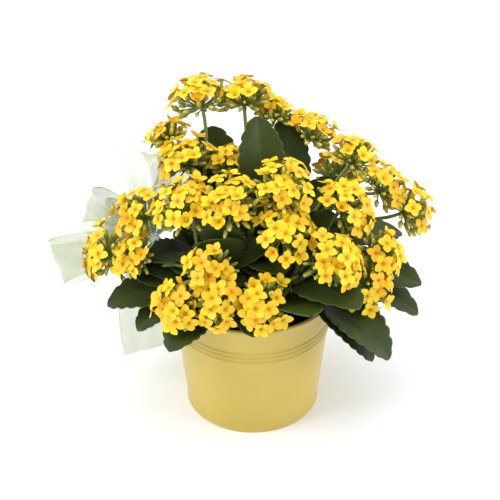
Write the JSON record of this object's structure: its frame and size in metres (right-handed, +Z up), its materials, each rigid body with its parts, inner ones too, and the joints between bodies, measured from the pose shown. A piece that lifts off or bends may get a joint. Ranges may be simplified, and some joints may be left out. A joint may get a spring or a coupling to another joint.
{
  "type": "potted kalanchoe",
  "caption": "Bushy flowering kalanchoe with yellow flower heads and scalloped leaves, in a round tapered tin pail with a sheer ribbon bow on a pick.",
  "frame": {"origin": "centre of the underside of the pail's base, on the surface it stands on", "axes": "+Z up along the pail's axis, -Y towards the front, +X to the right seen from the front"},
  "size_m": [0.2784, 0.192, 0.2367],
  "materials": {
    "tin": "satin pale yellow paint",
    "pot_plastic": "dark moulded plastic",
    "potting_mix": "dark crumbly peat mix",
    "stem": "smooth fleshy green",
    "flower": "bright yellow petals with orange throats on green stalks",
    "leaf": "thick dark green, slightly glossy",
    "ribbon": "sheer pale green organza",
    "pick_wood": "plain bare wood"
  },
  "bodies": {
    "root": {"pail_body": "tin", "pail_base": "tin", "shoot_front_left": "stem", "shoot_front_right": "stem", "shoot_back_left": "stem", "shoot_back_right": "stem", "shoot_middle": "stem", "bow_knot": "ribbon", "bow_pick": "pick_wood", "bow_loop_top": "ribbon", "bow_loop_upper_left": "ribbon", "bow_loop_left": "ribbon", "bow_loop_back": "ribbon", "bow_loop_lower_back": "ribbon", "bow_tail_front": "ribbon", "bow_tail_back": "ribbon", "grow_pot": "pot_plastic", "soil": "potting_mix", "flower_stem_01": "flower", "flower_stem_02": "flower", "flower_stem_03": "flower", "flower_stem_04": "flower", "flower_stem_05": "flower", "flower_stem_06": "flower", "flower_stem_07": "flower", "flower_stem_08": "flower", "flower_stem_09": "flower", "flower_stem_10": "flower", "flower_stem_11": "flower", "flower_stem_12": "flower", "flower_stem_13": "flower", "flower_stem_14": "flower", "flower_stem_15": "flower", "flower_stem_16": "flower", "flower_stem_17": "flower", "flower_stem_18": "flower", "flower_stem_19": "flower", "leaf_front_right": "leaf", "leaf_front_right_low": "leaf", "leaf_right_upper": "leaf", "leaf_right_lower": "leaf", "leaf_left_low": "leaf", "leaf_left_front": "leaf", "leaf_front_middle": "leaf", "leaf_front_middle_low": "leaf", "leaf_rim_middle": "leaf", "leaf_rim_left": "leaf", "leaf_top_middle": "leaf", "leaf_left_middle": "leaf", "leaf_top_right": "leaf", "leaf_top_left": "leaf", "leaf_upper_left": "leaf", "leaf_inner_left": "leaf", "leaf_inner_right": "leaf", "leaf_inner_front_left": "leaf", "leaf_back_low": "leaf", "leaf_back_left_low": "leaf", "leaf_back_right_low": "leaf", "leaf_right_back": "leaf", "leaf_back_middle": "leaf"}
  },
  "joints": []
}
